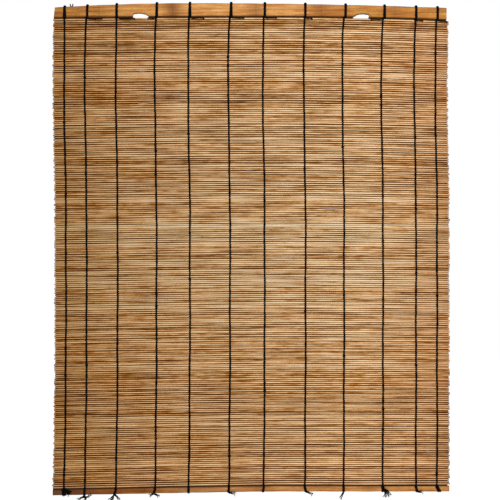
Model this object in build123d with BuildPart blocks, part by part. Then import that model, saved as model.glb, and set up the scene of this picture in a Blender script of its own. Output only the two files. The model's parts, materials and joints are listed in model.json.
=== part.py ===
from build123d import *
import os

# Bamboo roll-up blind hanging unrolled. X runs along the slats, Z is up and the front faces -Y.
# The origin lies midway between the two hook seats of the head batten. Lengths are in millimetres.

# Slats: split bamboo strips, flat-crowned with bevelled edges in front and ridged behind,
# pressed together at their necks
slat_count = 225
slat_pitch = 4.2
slat_length = 802
slat_thickness = 2.0
crown_width = 2.4
neck_thickness = 0.8

# Ragged ends: each slat is cut back by a share of the ragged depth, and the next slat takes
# the share a few places on
ragged_depth = 4.5
left_trim_shares = (0.1, 0.75, 0.3, 1.0, 0.45, 0.0, 0.6, 0.2, 0.85)
right_trim_shares = (0.55, 0.0, 0.9, 0.25, 0.7, 0.4, 1.0, 0.15, 0.35)
shares_per_slat_count = 4

# Slits where two neighbouring slats don't meet: one every few slats, each inside a bay between
# two strings and a few bays on from the last
slit_height = 0.6
slit_margin = 7
slats_per_slit_count = 4
bays_per_slit_count = 4

# Head batten, a little shorter than the longest slats at each end, with a hook notch in its
# lower edge near each side, steep outside and sloping inside
head_inset = 3.5
head_height = 25
head_thickness = 5
notch_spacing = 452
notch_depth = 5
notch_seat_width = 23
notch_slope_run = 8

# Bottom batten, a little shorter than the longest slats at each end
foot_inset = 1
foot_height = 12
foot_thickness = 5

# Bevel along both battens
batten_bevel = 0.8

# Strings: flat twined cords at twelve places along the slats
cord_width = 4
cord_thickness = 1.3
cord_bevel = 0.6
strand_thickness = 0.6
knot_radius = 0.75
cord_place_shares = (
    -0.468, -0.416, -0.338, -0.240, -0.156, -0.055, 0.032, 0.135, 0.232, 0.330, 0.413, 0.466,
)

# Room that the mat and the bottom batten keep from their neighbours while they swing
swing_clearance = 0.4
knot_clearance = 0.3

# How far a cutting outline stands past what it cuts
cut_overrun = 1

# Lengths of the battens
head_length = slat_length - 2 * head_inset
foot_length = slat_length - 2 * foot_inset

# Distances from a swing axis to what lies above and below it
axis_to_strand = slat_thickness / 2 + swing_clearance
axis_to_batten = axis_to_strand + strand_thickness
axis_to_mat = knot_radius + knot_clearance

# Levels from the hook seats down to the foot
head_bottom = -notch_depth
head_axis = head_bottom - axis_to_batten
mat_top = head_axis - axis_to_mat
mat_bottom = mat_top - slat_count * slat_pitch
foot_axis = mat_bottom - axis_to_mat
foot_top = foot_axis - axis_to_batten
stitch_top = head_axis - head_thickness / 2 - cord_thickness - swing_clearance
stitch_bottom = foot_axis + foot_thickness / 2 + cord_thickness + swing_clearance

cord_places = [share * slat_length for share in cord_place_shares]


def neck_level(number):
    """Height of the neck above slat `number`, counted down from the top of the mat."""
    return mat_top - number * slat_pitch


def wall_side(side, crown_steps):
    """Points down one side of the wall of slats: the necks, with the crown of a slat between each two."""
    points = [(side * neck_thickness / 2, mat_top)]
    for number in range(slat_count):
        middle = neck_level(number) - slat_pitch / 2
        for step in crown_steps:
            points.append((side * slat_thickness / 2, middle + step))
        points.append((side * neck_thickness / 2, neck_level(number + 1)))
    return points


def ragged_edge(side, trim_shares):
    """Points down one ragged edge of the mat, with each slat cut back by its own share."""
    points = []
    for number in range(slat_count):
        trim = ragged_depth * trim_shares[number * shares_per_slat_count % len(trim_shares)]
        end = side * (slat_length / 2 - trim)
        points.append((end, neck_level(number)))
        points.append((end, neck_level(number + 1)))
    return points


def string_round(edge_level, height, thickness, inward):
    """Draw a string wound round a batten, with its knot on the swing axis.

    The batten's inner edge lies at `edge_level` and `inward` points from it to the swing axis.
    """
    outer_align = Align.MIN if inward < 0 else Align.MAX
    strand_level = edge_level + inward * strand_thickness
    with Locations((0, strand_level)):
        Rectangle(
            thickness + 2 * cord_thickness,
            height + strand_thickness + cord_thickness,
            align=(Align.CENTER, outer_align),
        )
    far_corners = vertices().group_by(Axis.Y)[-1 if inward < 0 else 0]
    chamfer(far_corners, length=cord_bevel)
    with Locations((0, edge_level)):
        Rectangle(thickness, height, align=(Align.CENTER, outer_align), mode=Mode.SUBTRACT)
    with Locations((0, strand_level)):
        knot_align = Align.MAX if inward < 0 else Align.MIN
        Rectangle(2 * knot_radius, axis_to_strand, align=(Align.CENTER, knot_align))
    with Locations((0, strand_level + inward * axis_to_strand)):
        Circle(knot_radius)


# The mat: one ridged wall, trimmed to its ragged outline and opened at the slits
with BuildPart() as slat_mat:
    with BuildSketch(Plane.YZ.offset(-slat_length / 2)):
        with BuildLine():
            flat_crowns = wall_side(-1, (crown_width / 2, -crown_width / 2))
            ridge_crowns = wall_side(1, (0,))
            Polyline(*ridge_crowns, *reversed(flat_crowns), close=True)
        make_face()
    extrude(amount=slat_length)
    with BuildSketch(Plane.XZ.offset(-slat_thickness / 2 - cut_overrun)):
        with BuildLine():
            right_edge = ragged_edge(1, right_trim_shares)
            left_edge = ragged_edge(-1, left_trim_shares)
            Polyline(*right_edge, *reversed(left_edge), close=True)
        make_face()
        bays = list(zip(cord_places, cord_places[1:]))
        for bay, (bay_left, bay_right) in enumerate(bays):
            slit_places = [
                ((bay_left + bay_right) / 2, neck_level(slit * slats_per_slit_count))
                for slit in range(1, slat_count // slats_per_slit_count)
                if slit * bays_per_slit_count % len(bays) == bay
            ]
            with Locations(*slit_places):
                Rectangle(bay_right - bay_left - 2 * slit_margin, slit_height, mode=Mode.SUBTRACT)
    extrude(amount=slat_thickness + 2 * cut_overrun, mode=Mode.INTERSECT)

slat_mat.part.label = "slat_mat"


# The head batten with its two hook notches
with BuildPart() as head_batten:
    with BuildSketch(Plane.XZ):
        with Locations((0, head_bottom)):
            Rectangle(head_length, head_height, align=(Align.CENTER, Align.MIN))
        notch_outer = notch_spacing / 2 + notch_seat_width / 2
        notch_inner = notch_spacing / 2 - notch_seat_width / 2
        for side in (-1, 1):
            Polygon(
                (side * notch_outer, head_bottom),
                (side * notch_outer, 0),
                (side * notch_inner, 0),
                (side * (notch_inner - notch_slope_run), head_bottom),
                align=None,
                mode=Mode.SUBTRACT,
            )
    extrude(amount=head_thickness / 2, both=True)
    long_edges = head_batten.edges().filter_by(Axis.X).group_by(Axis.Z)
    chamfer(long_edges[0] + long_edges[-1], length=batten_bevel)

head_batten.part.label = "head_batten"


# The bottom batten
with BuildPart() as bottom_batten:
    with BuildSketch(Plane.XZ):
        with Locations((0, foot_top)):
            Rectangle(foot_length, foot_height, align=(Align.CENTER, Align.MAX))
    extrude(amount=foot_thickness / 2, both=True)
    chamfer(bottom_batten.edges().filter_by(Axis.X), length=batten_bevel)

bottom_batten.part.label = "bottom_batten"

os.makedirs("parts", exist_ok=True)
export_step(slat_mat.part, "parts/slat_mat.step")
export_step(head_batten.part, "parts/head_batten.step")
export_step(bottom_batten.part, "parts/bottom_batten.step")


# Each string: a loop over the head batten, a run down each side of the mat, a tie round the foot
for number, place in enumerate(cord_places, start=1):
    with BuildPart() as head_loop:
        with BuildSketch(Plane.YZ.offset(place - cord_width / 2)):
            string_round(head_bottom, head_height, head_thickness, inward=-1)
        extrude(amount=cord_width)
    head_loop.part.label = f"head_loop_{number:02d}"
    export_step(head_loop.part, f"parts/head_loop_{number:02d}.step")

    with BuildPart() as stitch_cord:
        with BuildSketch(Plane.XY.offset(stitch_bottom)):
            with Locations((place, slat_thickness / 2)):
                Rectangle(cord_width, cord_thickness, align=(Align.CENTER, Align.MIN))
            chamfer(vertices().group_by(Axis.Y)[-1], length=cord_bevel)
            mirror(about=Plane.XZ)
        extrude(amount=stitch_top - stitch_bottom)
    stitch_cord.part.label = f"stitch_cord_{number:02d}"
    export_step(stitch_cord.part, f"parts/stitch_cord_{number:02d}.step")

    with BuildPart() as foot_tie:
        with BuildSketch(Plane.YZ.offset(place - cord_width / 2)):
            string_round(foot_top, foot_height, foot_thickness, inward=1)
        extrude(amount=cord_width)
    foot_tie.part.label = f"foot_tie_{number:02d}"
    export_step(foot_tie.part, f"parts/foot_tie_{number:02d}.step")
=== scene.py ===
"""Bamboo roll-up blind, dressed for rendering: split slats, two battens and twelve twined strings.

Lengths are in metres. X runs along the slats, Z is up and the front faces -Y.
"""
import json
import math
import random
import bpy
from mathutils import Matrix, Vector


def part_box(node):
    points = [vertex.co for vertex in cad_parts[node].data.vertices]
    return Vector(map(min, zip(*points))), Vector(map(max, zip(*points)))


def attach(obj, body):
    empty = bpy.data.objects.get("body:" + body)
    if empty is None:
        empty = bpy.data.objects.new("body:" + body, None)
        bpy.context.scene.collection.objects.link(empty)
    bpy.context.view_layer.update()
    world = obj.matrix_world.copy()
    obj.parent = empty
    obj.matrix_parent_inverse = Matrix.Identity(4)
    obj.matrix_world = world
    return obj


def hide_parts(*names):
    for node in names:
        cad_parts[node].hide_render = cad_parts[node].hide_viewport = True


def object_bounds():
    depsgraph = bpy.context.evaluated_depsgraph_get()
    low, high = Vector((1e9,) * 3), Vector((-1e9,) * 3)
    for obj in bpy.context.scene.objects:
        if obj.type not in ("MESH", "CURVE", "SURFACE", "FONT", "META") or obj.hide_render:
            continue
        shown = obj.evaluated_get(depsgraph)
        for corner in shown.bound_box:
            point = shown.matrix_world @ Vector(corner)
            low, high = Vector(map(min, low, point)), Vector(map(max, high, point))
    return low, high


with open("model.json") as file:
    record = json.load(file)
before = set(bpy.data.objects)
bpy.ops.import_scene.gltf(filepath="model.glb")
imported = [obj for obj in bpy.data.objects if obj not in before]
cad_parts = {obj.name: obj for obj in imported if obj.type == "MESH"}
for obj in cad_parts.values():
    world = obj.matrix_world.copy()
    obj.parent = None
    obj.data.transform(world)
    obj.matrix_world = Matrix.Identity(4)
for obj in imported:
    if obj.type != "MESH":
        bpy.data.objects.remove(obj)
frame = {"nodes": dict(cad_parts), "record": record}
cad_low, cad_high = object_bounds()
random_seed = 11
chance = random.Random(random_seed)

# Meshes in general: the angle in degrees over which an edge is sharp, and the steps of a smooth route
sharp_angle = 55
route_steps = 5
x_axis = (1.0, 0.0, 0.0)
y_axis = (0.0, 1.0, 0.0)
z_axis = (0.0, 0.0, 1.0)

# Slats: how many, how finely each is drawn, and how much they differ
slat_count = 225
slat_pieces = 5
slat_stations = 54
ragged_depth = 0.0026
left_inset = 0.0014
right_inset = 0.0009
crowding_share = 0.035
neck_jitter = 0.0006
thickness_spread_share = 0.14
depth_spread = 0.0004
end_taper_length = 0.004
end_taper_share = 0.32
end_skew = 0.0006
neck_overlap = 0.00014

# Joints of the cane: the range of their distance from each end of a slat, their length and swell
left_joint_reach = (0.05, 0.30)
right_joint_reach = (0.05, 0.35)
joint_length = 0.004
joint_swell_share = 0.22

# Painted shade in the grooves between the slats, least in the middle of the blind, each one waving along
# X
groove_shade_low_share = 0.62
groove_shade_high_share = 1.14
groove_shade_middle_share = 0.79
groove_shade_wave_share = 0.20
groove_shade_wave_length = 0.17
groove_shade_power = 1.2

# Section of a slat as shares of its half thickness and half height
slat_section_shares = (
    (-0.22, 1.0), (-0.74, 0.8), (-0.98, 0.4), (-1.0, -0.1), (-0.86, -0.66), (-0.3, -1.0),
    (0.3, -1.0), (0.82, -0.72), (1.0, -0.2), (0.98, 0.3), (0.72, 0.78), (0.22, 1.0),
)

# Slow waves in the line where two slats meet: length of the wave and its height
neck_waves = ((0.61, 0.00022), (0.23, 0.00014), (0.085, 0.00007))

# Slits that let the light through: the neck, where it starts and ends along X, and its height
light_slits = (
    (104, 0.034, 0.104, 0.0009), (113, 0.042, 0.102, 0.0008), (123, 0.072, 0.106, 0.0006),
    (123, 0.110, 0.162, 0.0009), (90, 0.136, 0.184, 0.0007), (24, -0.236, -0.200, 0.0009),
    (25, -0.228, -0.206, 0.0006), (40, -0.232, -0.198, 0.0008), (59, 0.200, 0.255, 0.0006),
    (145, 0.118, 0.160, 0.0005), (169, -0.110, -0.060, 0.0006), (72, -0.020, 0.012, 0.0005),
    (196, 0.280, 0.322, 0.0006), (51, 0.205, 0.240, 0.0005), (12, -0.180, -0.140, 0.0005),
)
slit_stations = 8
slit_power = 0.6

# Fainter slits, one every few slats, each a few bays between strings on from the last
faint_slit_step = 4
faint_bay_step = 4
faint_slit_height = 0.0004
faint_slit_least_share = 0.2
faint_slit_margin = 0.007

# Rows of the texture that the slats are baked to: what their end caps take, and the space between rows
cap_share = 0.004
row_margin_share = 0.04

# How the blind hangs: both battens bow, and the strings sway from side to side on their way down
bow_left = 0.0028
bow_right = 0.0072
crest_place = -0.120
crest_left = 0.0090
crest_right = 0.0098
foot_turn = 0.045
foot_sag = 0.0080
foot_power = 1.15
hang_lift = -0.0004
foot_lift = 0.0029
mat_stretch = 0.0014
sway = 0.0018
sway_low_share = 0.13
sway_rise_share = 0.32
foot_lean = 0.0040
foot_lean_share = 0.62

# Battens. Their faces and edges ripple: each ripple has its pace in radians per metre and its phase
batten_stations = 120
batten_round = 0.0009
batten_corner_shares = ((1.0, 0.0, 1.0), (0.25, 0.6, 0.8), (0.0, 2.0, 0.25))
batten_middle_shares = ((-0.1, 0.6), (0.2, 0.3))
batten_edge_shift = 0.0006
batten_wobble = 0.00018
face_ripples = ((71, 0), (233, 1))
head_ripple = (83, 2)
foot_ripple = (97, 1)
head_end_slant = 0.003
head_right_trim = 0.003

# Hook notches in the head batten, steep outside and sloping inside
notch_spacing = 0.452
notch_seat_width = 0.023
notch_seat_steps = 12
notch_slope_run = 0.008
notch_depth = 0.005
notch_wall = 0.0012
notch_arch = 0.0015
notch_rough = 0.0005
notch_ripples = ((1500, 0), (617, 0))

# Joints of the cane on the battens: where each lies along X and how much it darkens the wood
head_joints = ((-0.306, 0.2), (-0.158, 1.0), (0.010, 0.6), (0.142, 0.5), (0.290, 0.4))
foot_joints = ((-0.215, 0.4), (0.020, 0.4), (0.236, 0.3))
batten_cloud_length = 0.018
batten_joint_length = 0.005
batten_joint_swell = 0.00021
joint_step_shares = (-1, -0.5, 0, 0.5, 1)

# Strands: half sizes across, the twist of their plies in turns per metre, and how they twine
strand_sides = 8
strand_steps = 5
strand_width = 0.00172
strand_depth = 0.00080
strand_reach = 0.0007
stitch_reach_share = 0.85
parallel_limit = 0.05
ply_share = 0.13
ply_count = 3
ply_turns = 420
bead_power = 0.7
bulge_share = 0.025
bulge_growth = 1.35
bulge_spread_share = 0.1
thread_radius = 0.0011

# How a string wanders from side to side: the reach, and for each wave its radians per slat and share
string_wander = 0.0004
wander_waves = ((0.11, 1.0), (0.37, 0.5))

# Loose ends and the fibres at their tips
end_radius = 0.0010
head_end_radius = 0.0007
end_plies = 3
end_turns = 0.8
end_taper_off_share = 0.3
end_spread = 0.0012
fibre_radius = 0.00022
fibre_count = 7
fibre_steps = 2
fray_length = 0.0038
fray_least_share = 0.4
fray_spread_share = 0.6
fray_bend_share = 0.3
fray_flat_share = 0.4

# How a strand turns round a batten's edge, nearest its knot and far from it
inner_turn_share = 0.8
outer_turn_share = 0.7
turn_lift_share = 0.6
turn_start = 0.0018

# Where each string leans on the head batten, and how far its two strands part below
head_leans = (
    -0.0006, 0.0036, 0.0002, 0.0026, 0.0020, 0.0042, 0.0024, 0.0014, 0.0050, 0.0050, 0.0020, 0.0028,
)
head_parts = (
    0.0018, 0.0006, 0.0010, 0.0012, 0.0016, 0.0016, 0.0007, 0.0007, 0.0008, 0.0012, 0.0008, 0.0007,
)
top_part = 0.0008
head_upright_share = 0.9
head_lean_share = 0.5
head_lean_slats = 4.5

# Knots: half sizes of the caps over the head batten and of the knots, and how they are wound
cap_size = (0.0023, 0.0020, 0.0017)
cap_lift_share = 1.2
knot_size = (0.0021, 0.0019, 0.0016)
knot_front_share = 0.55
knot_turns = 3.5
knot_steps = 44
knot_pole_share = 0.1
knot_strand = 0.0009

# Loose ends that lie along the top of the mat: the string, and the X reach of its end
head_ends = ((2, 0.030), (3, 0.034), (4, -0.014), (5, 0.028), (6, 0.026), (7, 0.022), (8, 0.013),
             (10, -0.022), (11, 0.012), (12, 0.018))
head_end_steps = 4
head_end_drop = 0.0014
head_end_wave = 0.0005

# Loose ends at the foot: for each string, routes of (X, Z) steps from where it leaves the batten
foot_ends = {
    1: (((0.0, 0.006), (-0.002, 0.003), (-0.003, 0.0005)),
        ((0.001, 0.007), (0.006, 0.006), (0.010, 0.0025)),
        ((0.0, 0.009), (0.008, 0.0095), (0.012, 0.007))),
    2: (((0.0, -0.002), (-0.005, -0.005), (-0.011, -0.008)),
        ((0.0, -0.003), (0.004, -0.004), (0.008, -0.003), (0.013, 0.001)),
        ((0.001, -0.004), (0.003, -0.007), (0.002, -0.011))),
    3: (((0.0, 0.0), (-0.003, -0.004), (-0.009, -0.010)),
        ((-0.001, -0.001), (-0.003, -0.007), (-0.004, -0.012)),
        ((0.001, 0.0), (0.005, -0.004), (0.009, -0.009))),
    4: (((0.0, 0.0), (-0.003, -0.001), (-0.007, -0.003)),
        ((0.001, 0.0), (0.005, -0.002), (0.009, -0.004))),
    6: (((0.0, 0.0), (0.005, -0.001), (0.012, -0.002)),),
    8: (((0.0, 0.0), (0.005, -0.001), (0.012, -0.004)),),
    9: (((0.0, 0.001), (-0.002, -0.004), (-0.006, -0.011)),),
    10: (((0.002, 0.004), (0.004, -0.002), (0.003, -0.008)),
         ((0.002, 0.005), (0.007, 0.0), (0.009, -0.007)),
         ((0.003, 0.005), (0.008, 0.002), (0.013, -0.005))),
    11: (((0.0, 0.001), (0.004, 0.0), (0.009, 0.0005)),),
}
foot_end_share = 0.8

# Larger knots at the foot: for each string, the height over the batten's lower edge and the half size
foot_knots = {1: (0.0092, 0.0048), 2: (-0.0030, 0.0024), 3: (0.0, 0.0018), 10: (0.0050, 0.0026)}
foot_knot_depth = 0.0016
foot_knot_share = 0.5

# How far each string leans from the top of the bottom batten to its lower edge, and its strands part
foot_leans = (
    0.0008, -0.0006, -0.0026, -0.0020, 0.0, -0.0008, -0.0013, 0.0018, 0.0, 0.0010, 0.0020, 0.0042,
)
foot_parts = (
    0.0016, 0.0006, 0.0008, 0.0008, 0.0007, 0.0007, 0.0007, 0.0008, 0.0007, 0.0016, 0.0009, 0.0019,
)

# A spare end of thread that stands on the head batten, as (X, Z) steps from its foot,
# and the thread along the foot: its steps and how many of the last strings it joins
spare_thread_place = -0.362
spare_thread = (
    (-0.0032, 0.0055), (-0.0026, 0.0022), (-0.0008, 0.0002), (0.0012, 0.0010), (0.0024, 0.0056),
)
foot_thread_steps = 20
foot_thread_strings = 3

# Thin dark rods of painted shade that fill the gaps over and under the mat where the shadow falls, open
# at the hook notches
shade_rod_radius = 0.0016
shade_rod_sides = 10
shade_rod_stations = 60

# Noise in the materials, in features per metre along X, Y and Z, and streaks along X alone
noise_detail = 3.0
noise_roughness = 0.6
noise_middle = 0.5
new_stop_place = 0.5
streak_row_step = 900.0
shade_rod_noise = (20.0, 60.0, 400.0)
# The streaks along the slats are partly their own tone and partly painted highlight
slat_streak_and_highlight = 7.0
slat_short_streak_and_highlight = 34.0
slat_grain = (16.0, 60.0, 520.0)
slat_fibre = (40.0, 900.0, 3600.0)
batten_fibre = (11.0, 300.0, 1300.0)
batten_streak = (14.0, 90.0, 260.0)
batten_pores = (260.0, 500.0, 420.0)
batten_fibre_detail = 4.0
batten_pore_detail = 2.0
batten_patch = (40.0, 60.0, 110.0)
string_fluff = (900.0, 900.0, 900.0)

# How much each kind of noise counts in the tone of the wood
slat_level = 0.50
slat_tone_share = 0.26
slat_noise_shares = (0.50, 0.60, 0.50, 0.60)
batten_noise_shares = (0.45, 0.50, 0.15, 0.20)

# Surfaces: roughness and shine, then the strength and depth of the relief
shade_rod_surface = (0.8, 0.05)
slat_surface = (0.6, 0.03)
slat_relief = (0.35, 0.0002)
batten_surface = (0.55, 0.2)
batten_relief = (0.4, 0.0003)
string_surface = (0.9, 0.05)
string_relief = (0.6, 0.0003)

# Camera: the photograph's width in pixels and its scale in metres per pixel
photo_pixels = 500
photo_scale = 0.00202
camera_x = -0.002
camera_z = -0.478
lens = 50.0
sensor = 36.0

# Stage: the light of the white world and of the floor, and for each lamp its place, size and power
world_light = 0.29
world_seen = 1.0
floor_gap = 0.09
floor_reach = 2.2
floor_roughness = 0.9
floor_grey = 0.9
floor_glow = 1.12
floor_glow_share = 0.85
lamps = {
    "key_light": ((0.9, -2.6, 2.4), 1.4, 100),
    "fill_light": ((-1.4, -1.9, -0.3), 1.6, 11.5),
    "back_light": ((0.5, 2.2, 1.2), 1.6, 36),
}

# Places taken from the frame
mat_low, mat_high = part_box("slat_mat")
head_low, head_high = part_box("head_batten")
foot_low, foot_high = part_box("bottom_batten")
half_width = mat_high[0]
mat_top = mat_high[2]
mat_height = mat_high[2] - mat_low[2]
slat_half = (mat_high[1] - mat_low[1]) / 2
batten_half = head_high[1]
strand_out = batten_half + strand_depth
head_axis, foot_axis = (joint["pos_m"][2] for joint in frame["record"]["behaviour"]["joints"])
string_count = sum(1 for node in frame["nodes"] if node.startswith("stitch_cord"))


def string_place(number):
    """X of string `number`, counted from 1 at the left."""
    low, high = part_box(f"stitch_cord_{number:02d}")
    return (low[0] + high[0]) / 2


string_places = [string_place(number) for number in range(1, string_count + 1)]


# The hang of the blind
def head_drop(x):
    """Height of the bowed lower edge of the head batten over its straight line."""
    depth = bow_left if x < 0 else bow_right
    return hang_lift - depth * (x / half_width) ** 2


def crest_drop(x):
    """Height of the bowed top edge of the head batten over its straight line."""
    side = -1 if x < crest_place else 1
    depth = crest_left if side < 0 else crest_right
    return -depth * ((x - crest_place) / (side * half_width - crest_place)) ** 2


def foot_drop(x):
    """Height of the foot over its straight line. The left side sags."""
    share = max(0.0, (foot_turn - x) / (foot_turn + half_width))
    return foot_lift - foot_sag * share**foot_power


def down_share(z):
    """0 at the top of the mat and above, 1 at its foot and below."""
    return min(1.0, max(0.0, (mat_top - z) / mat_height))


def hang(x, y, z):
    """Move a point of the straight mat to where it hangs."""
    down = down_share(z)
    rise = min(1.0, (down - sway_low_share) / sway_rise_share)
    drop = (1 - down) * head_drop(x) + down * (foot_drop(x) - mat_stretch)
    late = max(0.0, (down - foot_lean_share) / (1 - foot_lean_share))
    lean = foot_lean * late**2 * (half_width - x) / (2 * half_width)
    return (x - sway * math.cos(math.pi * rise) - lean, y, z + drop)


# Mesh helpers
def tube_mesh(name, tubes, values=None):
    """One object made of closed tubes, each a list of rings with as many points.

    `values` holds for each attribute one list of numbers, in the order of the points.
    """
    points = []
    faces = []
    for rings in tubes:
        start = len(points)
        count = len(rings[0])
        last = start + (len(rings) - 1) * count
        for ring in rings:
            points.extend(ring)
        for step in range(len(rings) - 1):
            for side in range(count):
                first = start + step * count + side
                second = start + step * count + (side + 1) % count
                faces.append((first, second, second + count, first + count))
        faces.append(tuple(start + side for side in reversed(range(count))))
        faces.append(tuple(last + side for side in range(count)))
    mesh = bpy.data.meshes.new(name)
    mesh.from_pydata(points, [], faces)
    for key, numbers in (values or {}).items():
        mesh.attributes.new(key, "FLOAT", "POINT").data.foreach_set("value", numbers)
    mesh.shade_smooth()
    mesh.set_sharp_from_angle(angle=math.radians(sharp_angle))
    piece = bpy.data.objects.new(name, mesh)
    bpy.context.scene.collection.objects.link(piece)
    return piece


def unit(vector):
    """The vector at length 1."""
    length = math.sqrt(sum(value * value for value in vector))
    return tuple(value / length for value in vector)


def heading(start, end):
    """The direction from one point to another."""
    return unit(tuple(b - a for a, b in zip(start, end)))


def heading_at(route, index):
    """The direction of a route at one of its points."""
    return heading(route[max(0, index - 1)], route[min(len(route) - 1, index + 1)])


def cross(first, second):
    """The cross product of two vectors."""
    return (
        first[1] * second[2] - first[2] * second[1],
        first[2] * second[0] - first[0] * second[2],
        first[0] * second[1] - first[1] * second[0],
    )


def curve_value(a, b, c, d, t):
    """One coordinate of a smooth curve through four points, a share `t` of the way from b to c."""
    square = (2 * a - 5 * b + 4 * c - d) * t**2
    cube = (3 * b - a - 3 * c + d) * t**3
    return (2 * b + (c - a) * t + square + cube) / 2


def smooth_route(points, steps=route_steps):
    """A smooth line through a few points, with `steps` stretches between each two."""
    padded = [points[0], *points, points[-1]]
    route = []
    for index in range(1, len(padded) - 2):
        before, start, end, after = padded[index - 1:index + 3]
        for step in range(steps):
            t = step / steps
            route.append(tuple(curve_value(*four, t) for four in zip(before, start, end, after)))
    route.append(points[-1])
    return route


def strand(route, width, depth, wide=x_axis, sizes=None):
    """Rings of a plied strand along a route, `width` and `depth` being half sizes across it."""
    rings = []
    walked = 0.0
    for index, place in enumerate(route):
        along = heading_at(route, index)
        across = cross(along, wide)
        if sum(value * value for value in across) < parallel_limit:
            across = cross(along, y_axis)
        across = unit(across)
        flat = cross(across, along)
        walked += math.dist(place, route[max(0, index - 1)])
        size = sizes[index] if sizes else 1.0
        ring = []
        for side in range(strand_sides):
            angle = math.tau * side / strand_sides
            twist = ply_count * angle + ply_turns * walked * math.tau / ply_count
            ply = size * (1 + ply_share * math.cos(twist))
            ring.append(tuple(
                place[k] + ply * (width * math.cos(angle) * flat[k] + depth * math.sin(angle) * across[k])
                for k in range(3)
            ))
        rings.append(ring)
    return rings


def frayed_end(tip, direction):
    """Thin fibres that spread from the tip of a loose end."""
    fibres = []
    for _ in range(fibre_count):
        aim = unit(tuple(
            value + chance.uniform(-fray_spread_share, fray_spread_share) for value in direction
        ))
        reach = fray_length * chance.uniform(fray_least_share, 1)
        bend = chance.uniform(-fray_bend_share, fray_bend_share) * reach
        middle = tuple(tip[k] + aim[k] * reach / 2 for k in range(3))
        end = (
            tip[0] + aim[0] * reach + bend,
            tip[1] + aim[1] * reach * fray_flat_share,
            tip[2] + aim[2] * reach - abs(bend),
        )
        fibres.append(strand(smooth_route([tip, middle, end], fibre_steps), fibre_radius, fibre_radius))
    return fibres


def loose_end(points, radius, spread):
    """A loose end in front of the blind, whose plies come apart by `spread` towards its frayed tip."""
    line = smooth_route(points)
    tubes = []
    for ply in range(end_plies):
        course = []
        sizes = []
        for index, (x, y, z) in enumerate(line):
            share = index / (len(line) - 1)
            along_x, _, along_z = heading_at(line, index)
            angle = math.tau * (ply / end_plies + end_turns * share)
            apart = (radius + spread * share**2) * math.cos(angle)
            course.append((x - along_z * apart, y + radius * math.sin(angle), z + along_x * apart))
            sizes.append(1 - end_taper_off_share * share)
        tubes.append(strand(course, radius, radius, sizes=sizes))
        tubes.extend(frayed_end(course[-1], heading(course[-3], course[-1])))
    return tubes


def wound_knot(middle, size):
    """A strand wound into a small ball."""
    route = []
    for step in range(knot_steps + 1):
        share = step / knot_steps
        angle = math.tau * knot_turns * share
        ring = math.sin(math.pi * (knot_pole_share + (1 - 2 * knot_pole_share) * share))
        route.append((
            middle[0] + size[0] * ring * math.cos(angle),
            middle[1] + size[1] * ring * math.sin(angle),
            middle[2] + size[2] * math.cos(math.pi * share),
        ))
    return strand(route, knot_strand, knot_strand, wide=z_axis)


# The lines where two slats meet
def neck_level(number):
    """Straight height of the neck above slat `number`. The slats crowd a little towards the foot."""
    share = number / slat_count
    return mat_top - mat_height * share * (1 + crowding_share * (1 - share))


def neck_groove_shade(number):
    """How dark the painted shade in the groove above slat `number` is, least in the middle of the blind.
    """
    fade = (1 - groove_shade_middle_share) * math.sin(math.pi * number / slat_count) ** 2
    return chance.uniform(groove_shade_low_share, groove_shade_high_share) * (1 - fade)


neck_shifts = [0.0] + [chance.uniform(-neck_jitter, neck_jitter) for _ in range(slat_count - 1)] + [0.0]
neck_groove_shades = [neck_groove_shade(number) for number in range(slat_count + 1)]
neck_phases = [[chance.uniform(0, math.tau) for _ in neck_waves] for _ in range(slat_count + 1)]
slits = {}
for slit_neck, slit_start, slit_end, slit_height in light_slits:
    slits.setdefault(slit_neck, []).append((slit_start, slit_end, slit_height))
bays = list(zip(string_places, string_places[1:]))
for slit_turn in range(1, slat_count // faint_slit_step):
    bay_left, bay_right = bays[slit_turn * faint_bay_step % len(bays)]
    slits.setdefault(slit_turn * faint_slit_step, []).append((
        bay_left + faint_slit_margin,
        bay_right - faint_slit_margin,
        faint_slit_height * chance.uniform(faint_slit_least_share, 1),
    ))


def neck_line(number, x):
    """Height of the neck above slat `number` at x."""
    wave = sum(
        height * math.sin(math.tau * x / length + phase)
        for (length, height), phase in zip(neck_waves, neck_phases[number])
    )
    return neck_level(number) + neck_shifts[number] + wave


def groove_shade_line(number, x):
    """How dark the painted shade in the groove above slat `number` is at x, stronger and fainter by
    turns.
    """
    wave = math.sin(math.tau * x / groove_shade_wave_length + neck_phases[number][0])
    return neck_groove_shades[number] * (1 + groove_shade_wave_share * wave)


def slit_opening(number, x):
    """How far the neck above slat `number` is open at x."""
    opening = 0.0
    for start, end, height in slits.get(number, ()):
        if start < x < end:
            opening += height * math.sin(math.pi * (x - start) / (end - start)) ** slit_power
    return opening


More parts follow.
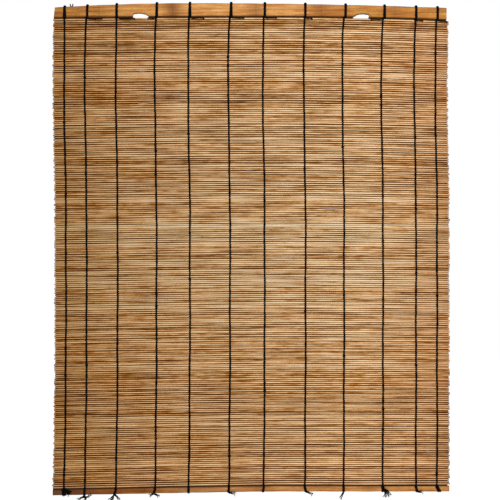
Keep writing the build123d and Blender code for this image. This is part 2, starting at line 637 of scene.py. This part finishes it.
# Slats
def slat_tube(number, values):
    """Rings of one slat, cut a little differently at each end, with what it adds to `values`."""
    left = -half_width + left_inset + ragged_depth * chance.random()
    right = half_width - right_inset - ragged_depth * chance.random()
    tone = chance.random()
    tint = chance.random()
    thickness = slat_half * chance.uniform(1 - thickness_spread_share, 1 + thickness_spread_share)
    depth = chance.uniform(-depth_spread, depth_spread)
    skew_left = chance.uniform(-end_skew, end_skew)
    skew_right = chance.uniform(-end_skew, end_skew)
    joints = [left + chance.uniform(*left_joint_reach), right - chance.uniform(*right_joint_reach)]
    stations = [left + (right - left) * step / slat_stations for step in range(slat_stations + 1)]
    for joint in joints:
        stations.extend((joint - joint_length, joint, joint + joint_length))
    stations.extend((left + end_taper_length, right - end_taper_length))
    for start, end, _ in slits.get(number, []) + slits.get(number + 1, []):
        stations.extend(start + (end - start) * step / slit_stations for step in range(slit_stations + 1))
    rings = []
    for x in sorted(stations):
        top = neck_line(number, x) + neck_overlap - slit_opening(number, x) / 2
        bottom = neck_line(number + 1, x) - neck_overlap + slit_opening(number + 1, x) / 2
        middle = (top + bottom) / 2
        half = (top - bottom) / 2
        joint = max(max(0.0, 1 - abs(x - place) / joint_length) for place in joints)
        swell = thickness * (1 + joint_swell_share * joint)
        half *= 1 - end_taper_share * max(0.0, 1 - min(x - left, right - x) / end_taper_length)
        groove_shades = groove_shade_line(number, x), groove_shade_line(number + 1, x)
        ring = []
        for y_share, z_share in slat_section_shares:
            skew = z_share * (skew_left if x == left else skew_right if x == right else 0.0)
            ring.append(hang(x + skew, depth + swell * y_share, middle + half * z_share))
            values["tone"].append(tone)
            values["tint"].append(tint)
            # The edge value paints shade into the grooves, darkest where the slats meet
            groove_shade = groove_shades[0] if z_share > 0 else groove_shades[1]
            values["edge"].append(groove_shade * abs(z_share) ** groove_shade_power)
            values["joint"].append(joint)
        rings.append(ring)
    return rings


def bake_rows(piece, row_points):
    """Give each tube of a piece its own row of the texture, so that long pieces keep their grain."""
    mesh = piece.data
    layer = mesh.uv_layers.new(name="OFBake")
    rows = len(row_points)
    starts = [sum(row_points[:row]) for row in range(rows)]
    row = 0
    low_x = min(vertex.co.x for vertex in mesh.vertices)
    width = max(vertex.co.x for vertex in mesh.vertices) - low_x
    sides = len(slat_section_shares)
    for face in mesh.polygons:
        first = min(face.vertices)
        while row + 1 < rows and first >= starts[row + 1]:
            row += 1
        capped = len(face.vertices) == sides
        for loop in face.loop_indices:
            vertex = mesh.loops[loop].vertex_index
            side = (vertex - starts[row]) % sides
            if not capped and side == 0 and (max(face.vertices) - starts[row]) % sides == sides - 1:
                side = sides
            along = (mesh.vertices[vertex].co.x - low_x) / width
            if capped:
                along = cap_share * side / sides / 2 + (1 - cap_share) * round(along)
            else:
                along = cap_share + along * (1 - 2 * cap_share)
            across = row_margin_share + (1 - 2 * row_margin_share) * side / sides
            layer.data[loop].uv = (along, (row + across) / rows)


def make_slats(material):
    """The mat, as a few pieces of many slats each."""
    slats_each = slat_count // slat_pieces
    for part in range(slat_pieces):
        values = {"tone": [], "tint": [], "edge": [], "joint": []}
        tubes = [slat_tube(part * slats_each + turn, values) for turn in range(slats_each)]
        piece = tube_mesh(f"slats_{part + 1}", tubes, values)
        bake_rows(piece, [len(rings) * len(rings[0]) for rings in tubes])
        piece.data.materials.append(material)
        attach(piece, "mat")
        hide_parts("slat_mat")


def shade_rod_tube(axis, low_x, high_x):
    """Rings of a thin rod of painted shade along a swing axis."""
    rings = []
    for step in range(shade_rod_stations + 1):
        x = low_x + (high_x - low_x) * step / shade_rod_stations
        place_x, _, place_z = hang(x, 0.0, axis)
        ring = []
        for side in range(shade_rod_sides):
            angle = math.tau * side / shade_rod_sides
            y = shade_rod_radius * math.cos(angle)
            ring.append((place_x, y, place_z + shade_rod_radius * math.sin(angle)))
        rings.append(ring)
    return rings


def make_shade_rods(material):
    """Dark rods of painted shade on both swing axes: they stand for the shadow in the gaps and keep the
    light out except at the hook notches.
    """
    notch_in = notch_spacing / 2 - notch_seat_width / 2 - notch_slope_run
    notch_out = notch_spacing / 2 + notch_seat_width / 2
    left, right = head_low[0], head_high[0] - head_right_trim
    spans = ((left, -notch_out), (-notch_in, notch_in), (notch_out, right))
    head = tube_mesh("head_lining", [shade_rod_tube(head_axis, *span) for span in spans])
    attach(head, "head")
    foot = tube_mesh("foot_lining", [shade_rod_tube(foot_axis, left, right)])
    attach(foot, "foot")
    for piece in (head, foot):
        piece.data.materials.append(material)


# Battens
def rounded(share):
    """A share from 0 to 1 that starts and ends gently."""
    return share * share * (3 - 2 * share)


def ripple(x, pace, phase):
    """A fine wave along X, from -1 to 1."""
    return math.sin(x * pace + phase)


def notch_rise(x):
    """How far the lower edge of the head batten rises in a hook notch."""
    from_seat = abs(x) - notch_spacing / 2
    outer = notch_seat_width / 2
    if from_seat > outer + notch_wall or from_seat < -outer - notch_slope_run:
        return 0.0
    rough = notch_rough * math.prod(ripple(x, *wave) for wave in notch_ripples)
    if from_seat > outer:
        return notch_depth * rounded(1 - (from_seat - outer) / notch_wall)
    if from_seat < -outer:
        return notch_depth * rounded(1 + (from_seat + outer) / notch_slope_run)
    return notch_depth + rough + notch_arch * (1 - (from_seat / outer) ** 2)


def batten_stretch(low_x, high_x, joints):
    """Places along a batten where its section is drawn, closer at its joints."""
    places = [low_x + (high_x - low_x) * step / batten_stations for step in range(batten_stations + 1)]
    for joint, _ in joints:
        for share in joint_step_shares:
            places.append(joint + share * batten_joint_length)
    return places


def batten_section(low, high, face, wobble):
    """Points round a batten, down its front and up its back, as (Y, Z, edge value)."""
    shares = batten_corner_shares
    top = [(batten_round * inset, high - batten_round * away, edge) for inset, away, edge in shares]
    foot = [(batten_round * inset, low + batten_round * away, edge) for inset, away, edge in shares]
    middle = [(wobble * inset, low + (high - low) * level, 0.0) for inset, level in batten_middle_shares]
    side = top + middle + foot[::-1]
    front = [(inset - face, z, edge) for inset, z, edge in side]
    back = [(face - inset, z, edge) for inset, z, edge in reversed(side)]
    return front + back


def batten_tube(places, joints, edges, half):
    """Rings of a bamboo strip whose lower and top edge `edges` gives, with its edge values."""
    rings = []
    values = {"edge": [], "joint": [], "cloud": []}
    for x in sorted(places):
        low, high = edges(x)
        joint = max(max(0.0, 1 - abs(x - place) / batten_joint_length) for place, _ in joints)
        cloud = max(dark * math.exp(-((x - place) / batten_cloud_length) ** 2) for place, dark in joints)
        face = half + batten_joint_swell * joint
        wobble = batten_wobble * math.prod(ripple(x, *wave) for wave in face_ripples)
        ring = []
        for y, z, edge in batten_section(low, high, face, wobble):
            ring.append((x, y, z))
            values["edge"].append(edge)
            values["joint"].append(joint)
            values["cloud"].append(cloud)
        rings.append(ring)
    return rings, values


def make_head_batten(material):
    """The bowed head batten with its two hook notches."""
    def edges(x):
        wobble = batten_wobble * ripple(x, *head_ripple)
        low = head_low[2] - batten_edge_shift + head_drop(x) + notch_rise(x)
        return low, head_high[2] + crest_drop(x) + wobble

    places = batten_stretch(head_low[0], head_high[0] - head_right_trim, head_joints)
    outer = notch_spacing / 2 + notch_seat_width / 2
    inner = notch_spacing / 2 - notch_seat_width / 2
    notch_places = [outer + notch_wall, outer, inner, inner - notch_slope_run]
    for step in range(1, notch_seat_steps):
        notch_places.append(inner + notch_seat_width * step / notch_seat_steps)
    for side in (-1, 1):
        places.extend(side * place for place in notch_places)
    rings, values = batten_tube(places, head_joints, edges, batten_half)
    height = head_high[2] - head_low[2]
    rings[0] = [(x + head_end_slant * (z - head_low[2]) / height, y, z) for x, y, z in rings[0]]
    piece = tube_mesh("head_batten_strip", [rings], values)
    piece.data.materials.append(material)
    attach(piece, "head")
    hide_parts("head_batten")


def make_foot_batten(material):
    """The bottom batten, whose left side sags."""
    def edges(x):
        wobble = batten_wobble * ripple(x, *foot_ripple)
        high = foot_high[2] + batten_edge_shift - mat_stretch + foot_drop(x)
        return foot_low[2] + foot_drop(x) + wobble, high

    places = batten_stretch(foot_low[0], foot_high[0], foot_joints)
    rings, values = batten_tube(places, foot_joints, edges, batten_half)
    piece = tube_mesh("bottom_batten_strip", [rings], values)
    piece.data.materials.append(material)
    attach(piece, "foot")
    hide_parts("bottom_batten")


# Strings
def finish_string(name, tubes, material, node):
    """Make one piece of string that stands for a CAD node."""
    piece = tube_mesh(name, tubes)
    piece.data.materials.append(material)
    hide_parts(node)
    return piece


def stitch_bulge():
    """How thick a strand is on one slat: a few stitches bulge."""
    if chance.random() < bulge_share:
        return bulge_growth
    return chance.uniform(1 - bulge_spread_share, 1 + bulge_spread_share)


def stitch_tubes(number):
    """Two strands that twine round every slat and cross at every neck."""
    place = string_places[number - 1]
    reach = slat_half + strand_depth * stitch_reach_share
    phases = [chance.uniform(0, math.tau) for _ in wander_waves]
    bulges = [stitch_bulge() for _ in range(slat_count)]
    tubes = []
    for turn in (1, -1):
        route = []
        sizes = []
        for step in range(slat_count * strand_steps + 1):
            share = step / strand_steps
            slat = min(slat_count - 1, int(share))
            wander = string_wander * sum(
                height * math.sin(share * pace + phase)
                for (pace, height), phase in zip(wander_waves, phases)
            )
            top = neck_line(slat, place)
            bottom = neck_line(slat + 1, place)
            wave = math.sin(math.pi * share)
            y = -turn * reach * math.copysign(abs(wave) ** bead_power, wave)
            lean = head_leans[number - 1] * head_lean_share * math.exp(-share / head_lean_slats)
            x = place + wander + lean + turn * strand_reach * math.cos(math.pi * share)
            route.append(hang(x, y, top + (bottom - top) * (share - slat)))
            sizes.append(bulges[slat])
        tubes.append(strand(route, strand_width, strand_depth, sizes=sizes))
    return tubes


def wrapped_strand(knot, inner, outer, between=()):
    """Rings of a strand that leaves its knot, goes over a batten and comes back behind it.

    It passes places (X, Z) on the batten's edges, near the knot and far from it, and any between.
    """
    away = 1 if outer[1] > inner[1] else -1
    turn_lift = away * strand_depth * turn_lift_share
    front = [
        knot,
        (inner[0], -strand_out * inner_turn_share, inner[1] - turn_lift),
        (inner[0], -strand_out, inner[1] + away * turn_start),
        *((x, -strand_out, z) for x, z in between),
        (outer[0], -strand_out, outer[1] - away * turn_start),
        (outer[0], -strand_out * outer_turn_share, outer[1] + turn_lift),
        (outer[0], 0.0, outer[1] + away * strand_depth),
    ]
    back = [(x, -y, z) for x, y, z in reversed(front[:-1])]
    return strand(smooth_route(front + back), strand_width, strand_depth)


def head_tubes(number):
    """Two strands over the head batten, a cap on its top edge and a knot below."""
    place = string_places[number - 1]
    lean = head_leans[number - 1]
    top = head_high[2] + crest_drop(place)
    low = head_low[2] - batten_edge_shift + head_drop(place)
    knot = hang(place, 0.0, head_axis)
    knot_x = knot[0] + lean * head_lean_share
    tubes = []
    for side in (-1, 1):
        start = (knot_x + side * strand_reach, 0.0, knot[2])
        below = place + lean * head_upright_share + side * head_parts[number - 1]
        above = place + lean + side * top_part
        halfway = ((below + above) / 2, (low + top) / 2)
        tubes.append(wrapped_strand(start, (below, low), (above, top), [halfway]))
    tubes.append(wound_knot((place + lean, 0.0, top + strand_depth * cap_lift_share), cap_size))
    tubes.append(wound_knot((knot_x, -batten_half * knot_front_share, knot[2]), knot_size))
    return tubes


def head_end_tubes(number):
    """The loose end that lies along the top of the mat beside this string, if it has one."""
    knot_x = hang(string_places[number - 1], 0.0, head_axis)[0] + head_leans[number - 1] * head_lean_share
    tubes = []
    for owner, reach in head_ends:
        if owner == number:
            route = [(knot_x, -slat_half, head_axis + head_drop(knot_x))]
            for step in range(1, head_end_steps + 1):
                x = knot_x + reach * step / head_end_steps
                dip = head_end_drop + chance.uniform(-head_end_wave, head_end_wave)
                route.append((x, -slat_half - head_end_radius, mat_top + head_drop(x) - dip))
            tubes.extend(loose_end(route, head_end_radius, 0.0))
    return tubes


def foot_tubes(number):
    """Two strands round the bottom batten, with the knot and the loose ends of this string."""
    place = string_places[number - 1]
    knot = hang(place, 0.0, foot_axis)
    x = knot[0]
    top = foot_high[2] - mat_stretch + foot_drop(x)
    low = foot_low[2] + foot_drop(x)
    tubes = []
    for side in (-1, 1):
        start = (x + side * strand_reach, 0.0, knot[2])
        above = x + side * foot_parts[number - 1]
        below = above + foot_leans[number - 1]
        tubes.append(wrapped_strand(start, (above, top), (below, low)))
    tubes.append(wound_knot(knot, knot_size))
    x += foot_leans[number - 1]
    if number in foot_knots:
        height, size = foot_knots[number]
        middle = (x, -strand_out - strand_depth * foot_knot_share, low + height)
        tubes.append(wound_knot(middle, (size, foot_knot_depth, size)))
    end_y = -strand_out - strand_depth * foot_end_share
    for steps in foot_ends.get(number, ()):
        route = [(x + step_x, end_y, low + step_z) for step_x, step_z in steps]
        tubes.extend(loose_end(route, end_radius, end_spread))
    return tubes


def make_strings(material):
    """All twelve strings: on the head batten, down the mat and round the bottom batten."""
    for number in range(1, string_count + 1):
        mark = f"{number:02d}"
        head = finish_string(f"string_head_{mark}", head_tubes(number), material, f"head_loop_{mark}")
        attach(head, "head")
        twine = stitch_tubes(number) + head_end_tubes(number)
        mat = finish_string(f"string_mat_{mark}", twine, material, f"stitch_cord_{mark}")
        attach(mat, "mat")
        foot = finish_string(f"string_foot_{mark}", foot_tubes(number), material, f"foot_tie_{mark}")
        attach(foot, "foot")


def make_threads(material):
    """A spare thread end on the head batten and the thread between the last strings at the foot."""
    top = head_high[2] + crest_drop(spare_thread_place)
    route = [(spare_thread_place + x, 0.0, top + z) for x, z in spare_thread]
    spare = tube_mesh("spare_thread", [strand(smooth_route(route), thread_radius, thread_radius)])
    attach(spare, "head")
    line = []
    for place in string_places[-foot_thread_strings:]:
        line.append((place, -slat_half, foot_axis - mat_stretch + foot_drop(place)))
    line = smooth_route(line, foot_thread_steps)
    foot = tube_mesh("foot_thread", [strand(line, thread_radius, thread_radius)])
    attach(foot, "foot")
    for piece in (spare, foot):
        piece.data.materials.append(material)


# Materials
def linear(red, green, blue):
    """A colour seen on a screen, from 0 to 255, as light, by the usual curve of screens."""
    def light(value):
        share = value / 255
        return share / 12.92 if share <= 0.04045 else ((share + 0.055) / 1.055) ** 2.4
    return (light(red), light(green), light(blue), 1.0)


def grey(share):
    """A grey of a share of full light, as a factor."""
    return (share, share, share, 1.0)


class Nodes:
    """Short ways to add nodes to a tree of nodes."""

    def __init__(self, tree):
        self.tree = tree

    def link(self, source, target):
        """Join an output to an input, or set the input to a number or a tuple."""
        if isinstance(source, (int, float, tuple)):
            target.default_value = source
        else:
            self.tree.links.new(source, target)

    def node(self, kind, sources=None):
        """A new node, with what goes into its inputs."""
        node = self.tree.nodes.new(f"ShaderNode{kind}")
        for key, source in (sources or {}).items():
            self.link(source, node.inputs[key])
        return node

    def math(self, operation, first, second):
        """A sum, product or the like of two outputs or numbers."""
        node = self.node("Math", {0: first, 1: second})
        node.operation = operation
        return node.outputs["Value"]

    def seen_directly(self):
        """1 for what the camera sees, straight or in a mirror or glass, and 0 for the light it casts."""
        rays = self.node("LightPath").outputs
        seen = self.math("MAXIMUM", rays["Is Camera Ray"], rays["Is Glossy Ray"])
        return self.math("MAXIMUM", seen, rays["Is Transmission Ray"])


class Shades(Nodes):
    """A material and short ways to add colours and relief to it."""

    def __init__(self, name):
        self.material = bpy.data.materials.new(name)
        self.material.use_nodes = True
        super().__init__(self.material.node_tree)
        self.shader = self.tree.nodes["Principled BSDF"]
        self.place = self.node("TexCoord").outputs["Object"]

    def noise(self, scale, detail=noise_detail):
        """Noise stretched by a scale for each axis, in features per metre."""
        course = self.node("Mapping", {"Vector": self.place, "Scale": scale}).outputs["Vector"]
        texture = self.node("TexNoise", {"Vector": course, "Scale": 1.0, "Detail": detail})
        self.link(noise_roughness, texture.inputs["Roughness"])
        return texture.outputs["Fac"]

    def along(self, axis):
        """The place along an axis."""
        return self.node("SeparateXYZ", {"Vector": self.place}).outputs[axis]

    def streaks(self, scale, row):
        """Noise that changes along X only and takes another course for every value of `row`."""
        course = self.node("CombineXYZ", {
            "X": self.math("MULTIPLY", self.along("X"), scale),
            "Y": self.math("MULTIPLY", row, streak_row_step),
        }).outputs["Vector"]
        texture = self.node("TexNoise", {"Vector": course, "Scale": 1.0, "Detail": noise_detail})
        return texture.outputs["Fac"]

    def value(self, name):
        """A number that the mesh carries."""
        node = self.node("Attribute")
        node.attribute_name = name
        return node.outputs["Fac"]

    def ramp(self, source, stops):
        """Colours along a value, as (place, colour)."""
        node = self.node("ValToRGB", {"Fac": source})
        steps = node.color_ramp.elements
        while len(steps) < len(stops):
            steps.new(new_stop_place)
        for step, (position, colour) in zip(steps, stops):
            step.position = position
            step.color = colour
        return node.outputs["Color"]

    def mix(self, share, first, second, blend="MIX"):
        """Two colours mixed by a share. The node's colours are its inputs 6 and 7 and its output 2."""
        node = self.node("Mix")
        node.data_type = "RGBA"
        node.blend_type = blend
        for key, source in ((0, share), (6, first), (7, second)):
            self.link(source, node.inputs[key])
        return node.outputs[2]

    def tinted(self, colour, source, stops):
        """A colour multiplied by the colours along a value."""
        return self.mix(1.0, colour, self.ramp(source, stops), "MULTIPLY")

    def span(self, axis, start, end):
        """0 where the place along an axis is `start`, 1 where it is `end`."""
        share = self.node("MapRange", {"Value": self.along(axis), "From Min": start, "From Max": end})
        return share.outputs["Result"]

    def bump(self, height, strength, distance):
        """Small relief from a value."""
        node = self.node("Bump", {"Height": height, "Strength": strength, "Distance": distance})
        self.link(node.outputs["Normal"], self.shader.inputs["Normal"])

    def surface(self, colour, roughness, shine):
        """Give the material its colour, its roughness and its shine."""
        self.link(colour, self.shader.inputs["Base Color"])
        self.link(roughness, self.shader.inputs["Roughness"])
        self.link(shine, self.shader.inputs["Specular IOR Level"])


def dark_bamboo():
    """Painted shade: deep brown bamboo that stands for the shadow in the gaps by the battens."""
    shades = Shades("dark_bamboo")
    grain = shades.noise(shade_rod_noise)
    colour = shades.ramp(grain, ((0.3, linear(44, 29, 17)), (0.7, linear(84, 57, 35))))
    shades.surface(colour, *shade_rod_surface)
    return shades.material


def slat_bamboo():
    """Split bamboo: every slat has its own tone, with long streaks that are partly painted highlight,
    painted shade towards its edges in the grooves, and browner ends.
    """
    shades = Shades("slat_bamboo")
    # Streaks along each slat: partly the cane's own tone, partly painted highlight
    streak = shades.streaks(slat_streak_and_highlight, shades.value("tone"))
    short_streak_and_highlight = shades.streaks(slat_short_streak_and_highlight, shades.value("tint"))
    grain = shades.noise(slat_grain)
    fibre = shades.noise(slat_fibre)
    level = shades.math("MULTIPLY", shades.value("tone"), slat_tone_share)
    for source, share in zip((streak, short_streak_and_highlight, grain, fibre), slat_noise_shares):
        departure = shades.math("SUBTRACT", source, noise_middle)
        level = shades.math("ADD", level, shades.math("MULTIPLY", departure, share))
    level = shades.math("ADD", level, slat_level)
    tan = shades.ramp(level, (
        (0.30, linear(150, 103, 54)), (0.46, linear(205, 155, 96)), (0.60, linear(248, 213, 169)),
        (0.74, linear(255, 231, 200)), (0.90, linear(255, 240, 216)),
    ))
    orange = shades.ramp(level, (
        (0.30, linear(143, 94, 45)), (0.46, linear(203, 146, 86)), (0.60, linear(246, 201, 155)),
        (0.74, linear(255, 224, 192)), (0.90, linear(255, 237, 211)),
    ))
    colour = shades.mix(shades.value("tint"), tan, orange)
    # Painted shade: each slat darkens towards its edges, into the grooves between the slats
    colour = shades.tinted(colour, shades.value("edge"), (
        (0.10, grey(1.0)), (0.28, (0.83, 0.69, 0.46, 1.0)), (0.41, (0.44, 0.26, 0.065, 1.0)),
        (0.60, (0.072, 0.022, 0.001, 1.0)),
    ))
    colour = shades.tinted(colour, shades.value("joint"), ((0.3, grey(1.0)), (1.0, grey(0.82))))
    colour = shades.tinted(colour, shades.span("X", -half_width, half_width), (
        (0.0, linear(197, 183, 157)), (0.2, linear(224, 216, 204)), (0.5, linear(241, 239, 235)),
        (0.78, linear(255, 255, 255)), (0.9, linear(249, 243, 238)), (1.0, linear(231, 215, 203)),
    ))
    colour = shades.tinted(colour, shades.span("Z", mat_top, mat_top - mat_height), (
        (0.1, linear(255, 254, 253)), (0.5, linear(245, 247, 245)), (0.9, linear(255, 249, 240)),
    ))
    shades.surface(colour, *slat_surface)
    shades.bump(fibre, *slat_relief)
    return shades.material


def batten_bamboo(name, tones_along_x):
    """A flat bamboo strip: orange-tan, with fine grain, dark edges and the joints of the cane."""
    shades = Shades(name)
    fibre = shades.noise(batten_fibre, batten_fibre_detail)
    streak = shades.noise(batten_streak)
    pores = shades.noise(batten_pores, batten_pore_detail)
    patch = shades.noise(batten_patch)
    fibre_share, *other_shares = batten_noise_shares
    level = shades.math("MULTIPLY", fibre, fibre_share)
    for source, share in zip((streak, pores, patch), other_shares):
        level = shades.math("ADD", level, shades.math("MULTIPLY", source, share))
    colour = shades.ramp(level, (
        (0.40, linear(121, 66, 18)), (0.54, linear(179, 114, 46)), (0.68, linear(220, 153, 80)),
        (0.84, linear(250, 204, 131)),
    ))
    cloud = shades.math("MULTIPLY", shades.value("cloud"), shades.math("ADD", patch, noise_middle))
    colour = shades.tinted(colour, cloud, ((0.0, grey(1.0)), (1.0, (0.44, 0.36, 0.26, 1.0))))
    edge_stops = ((0.2, grey(1.0)), (1.0, (0.34, 0.24, 0.14, 1.0)))
    colour = shades.tinted(colour, shades.value("edge"), edge_stops)
    joint_stops = ((0.1, grey(1.0)), (0.55, grey(1.06)), (1.0, grey(0.78)))
    colour = shades.tinted(colour, shades.value("joint"), joint_stops)
    colour = shades.tinted(colour, shades.span("X", -half_width, half_width), tones_along_x)
    shades.surface(colour, *batten_surface)
    shades.bump(fibre, *batten_relief)
    return shades.material


def black_string():
    """Black twisted yarn with a dull, fibrous surface."""
    shades = Shades("black_string")
    fluff = shades.noise(string_fluff)
    colour = shades.ramp(fluff, ((0.3, linear(2, 2, 2)), (0.75, linear(15, 14, 14))))
    shades.surface(colour, *string_surface)
    shades.bump(fluff, *string_relief)
    return shades.material


# Camera, light and floor
def make_camera():
    """A camera square on to the blind, at the distance that gives the photograph's scale."""
    data = bpy.data.cameras.new("camera")
    data.lens = lens
    data.sensor_width = sensor
    distance = photo_pixels * photo_scale * lens / sensor
    camera = bpy.data.objects.new("camera", data)
    camera.location = (camera_x, -distance, camera_z)
    camera.rotation_euler = (math.radians(90), 0, 0)
    bpy.context.scene.collection.objects.link(camera)
    bpy.context.scene.camera = camera


def add_area_light(name, place, target, size, power):
    """A soft square light aimed at a point."""
    data = bpy.data.lights.new(name, "AREA")
    data.size = size
    data.energy = power
    light = bpy.data.objects.new(name, data)
    light.location = place
    aim = heading(place, target)
    light.rotation_euler = (math.acos(-aim[2]), 0, math.atan2(aim[0], -aim[1]) + math.pi)
    bpy.context.scene.collection.objects.link(light)


def pale_floor():
    """A nearly white floor that keeps a soft shadow."""
    shades = Shades("pale_floor")
    shades.surface(grey(floor_grey), floor_roughness, 0.0)
    glow = shades.node("Emission", {"Strength": floor_glow}).outputs["Emission"]
    share = shades.math("MULTIPLY", shades.seen_directly(), floor_glow_share)
    mix = shades.node("MixShader", {"Fac": share, 1: shades.shader.outputs["BSDF"], 2: glow})
    shades.link(mix.outputs["Shader"], shades.tree.nodes["Material Output"].inputs["Surface"])
    return shades.material


def make_stage():
    """White world, pale floor and soft lights."""
    scene = bpy.context.scene
    scene.view_settings.view_transform = "Standard"
    world = bpy.data.worlds.new("studio")
    world.use_nodes = True
    scene.world = world
    nodes = Nodes(world.node_tree)
    lights = {"Value": nodes.seen_directly(), "To Min": world_light, "To Max": world_seen}
    strength = nodes.node("MapRange", lights).outputs["Result"]
    background = world.node_tree.nodes["Background"].inputs
    nodes.link(grey(1.0), background["Color"])
    nodes.link(strength, background["Strength"])

    for name, (place, size, power) in lamps.items():
        add_area_light(name, place, (0.0, 0.0, camera_z), size, power)

    mesh = bpy.data.meshes.new("floor")
    level = cad_low[2] - floor_gap
    corners = [(-1, -1), (1, -1), (1, 1), (-1, 1)]
    mesh.from_pydata([(x * floor_reach, y * floor_reach, level) for x, y in corners], [], [(0, 1, 2, 3)])
    floor = bpy.data.objects.new("floor", mesh)
    scene.collection.objects.link(floor)
    mesh.materials.append(pale_floor())


# Colours along each batten from its left end to its right, darker and browner towards the left end
head_tones_along_x = (
    (0.0, linear(184, 172, 136)), (0.06, linear(200, 190, 154)), (0.24, linear(238, 236, 234)),
    (0.60, linear(246, 246, 250)), (0.66, linear(224, 206, 168)), (0.78, linear(218, 208, 162)),
    (0.88, linear(220, 202, 146)), (1.0, linear(226, 220, 180)),
)
foot_tones_along_x = (
    (0.0, linear(105, 91, 76)), (0.05, linear(120, 98, 72)), (0.12, linear(156, 124, 46)),
    (0.21, linear(164, 138, 70)), (0.30, linear(186, 178, 162)), (0.39, linear(208, 204, 216)),
    (0.58, linear(222, 220, 228)), (0.80, linear(229, 225, 228)), (1.0, linear(218, 212, 204)),
)

string_material = black_string()
make_slats(slat_bamboo())
make_shade_rods(dark_bamboo())
make_head_batten(batten_bamboo("head_bamboo", head_tones_along_x))
make_foot_batten(batten_bamboo("foot_bamboo", foot_tones_along_x))
make_strings(string_material)
make_threads(string_material)
make_stage()
make_camera()
